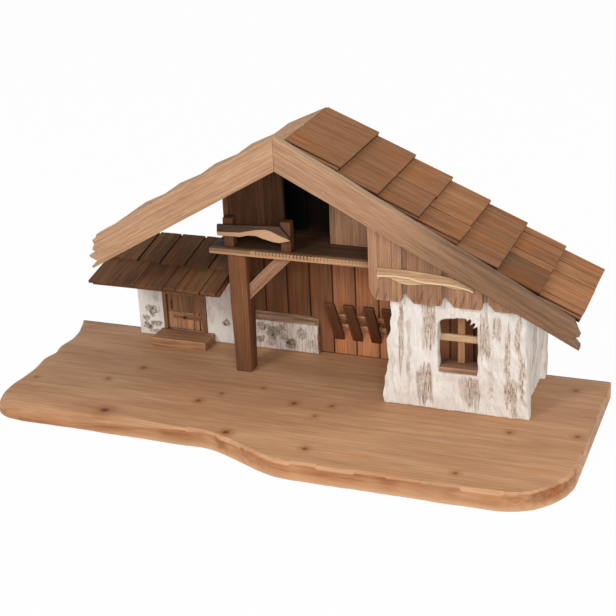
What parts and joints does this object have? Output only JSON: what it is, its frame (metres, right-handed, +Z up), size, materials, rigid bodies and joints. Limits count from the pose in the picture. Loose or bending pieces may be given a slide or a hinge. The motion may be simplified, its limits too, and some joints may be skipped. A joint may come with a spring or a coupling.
{
  "type": "nativity stable",
  "caption": "Wooden nativity stable on a shaped baseboard: shingled gable roof, loft with a rail, plastered house, lean-to with a two-part stable door, hay rack.",
  "frame": {"origin": "middle of the baseboard's underside", "axes": "+X to the right along the front, +Y from the front to the straight back edge, +Z up"},
  "size_m": [0.56, 0.229, 0.2726],
  "materials": {
    "base_pine": "satin stained pine",
    "shingle_wood": "split and stained",
    "white_plaster": "wood under rough white plaster paint, dry brushed with brown",
    "hinge_wire": "drawn wire",
    "light_wood": "oiled, planed",
    "dark_wood": "dark stained"
  },
  "bodies": {
    "root": {"back_wall": "dark_wood", "bargeboard_left": "light_wood", "bargeboard_right": "light_wood", "baseboard": "base_pine", "door_frame": "dark_wood", "door_hinge_pin": "hinge_wire", "door_step": "dark_wood", "front_post": "dark_wood", "gable_cladding": "light_wood", "gable_side_wall": "dark_wood", "gable_trim": "light_wood", "hay_rack_rails": "dark_wood", "hay_rack_slats": "dark_wood", "house_front_wall": "white_plaster", "house_left_wall": "dark_wood", "house_right_wall": "white_plaster", "knee_brace": "dark_wood", "lean_to_back_panel": "dark_wood", "lean_to_front_wall": "white_plaster", "lean_to_roof_deck": "dark_wood", "lean_to_shingles_lower": "shingle_wood", "lean_to_shingles_upper": "shingle_wood", "loft_floor": "dark_wood", "loft_rail": "light_wood", "loft_rail_post_left": "dark_wood", "loft_rail_post_right": "dark_wood", "loft_side_wall": "dark_wood", "loft_wall_left": "dark_wood", "loft_wall_right": "dark_wood", "plinth": "white_plaster", "roof_deck_left": "dark_wood", "roof_deck_right": "dark_wood", "shingle_course_left_1": "shingle_wood", "shingle_course_left_2": "shingle_wood", "shingle_course_left_3": "shingle_wood", "shingle_course_left_4": "shingle_wood", "shingle_course_left_5": "shingle_wood", "shingle_course_right_1": "shingle_wood", "shingle_course_right_2": "shingle_wood", "shingle_course_right_3": "shingle_wood", "shingle_course_right_4": "shingle_wood", "shingle_course_right_5": "shingle_wood", "shingle_course_right_6": "shingle_wood", "shingle_course_right_7": "shingle_wood", "window_cross_bar": "light_wood", "window_mullion": "dark_wood", "window_sill": "light_wood"},
    "door_upper": {"door_upper_leaf": "dark_wood"},
    "door_lower": {"door_lower_leaf": "dark_wood", "door_ledge": "dark_wood", "door_knob": "dark_wood"}
  },
  "joints": [
    {"name": "door_upper_hinge", "type": "hinge", "parent": "root", "child": "door_upper", "pos_m": [-0.1686, 0.1011, 0.0656], "axis": [0, 0, -1], "range_deg": [0, 90]},
    {"name": "door_lower_hinge", "type": "hinge", "parent": "root", "child": "door_lower", "pos_m": [-0.1686, 0.1011, 0.037], "axis": [0, 0, -1], "range_deg": [0, 90]}
  ]
}
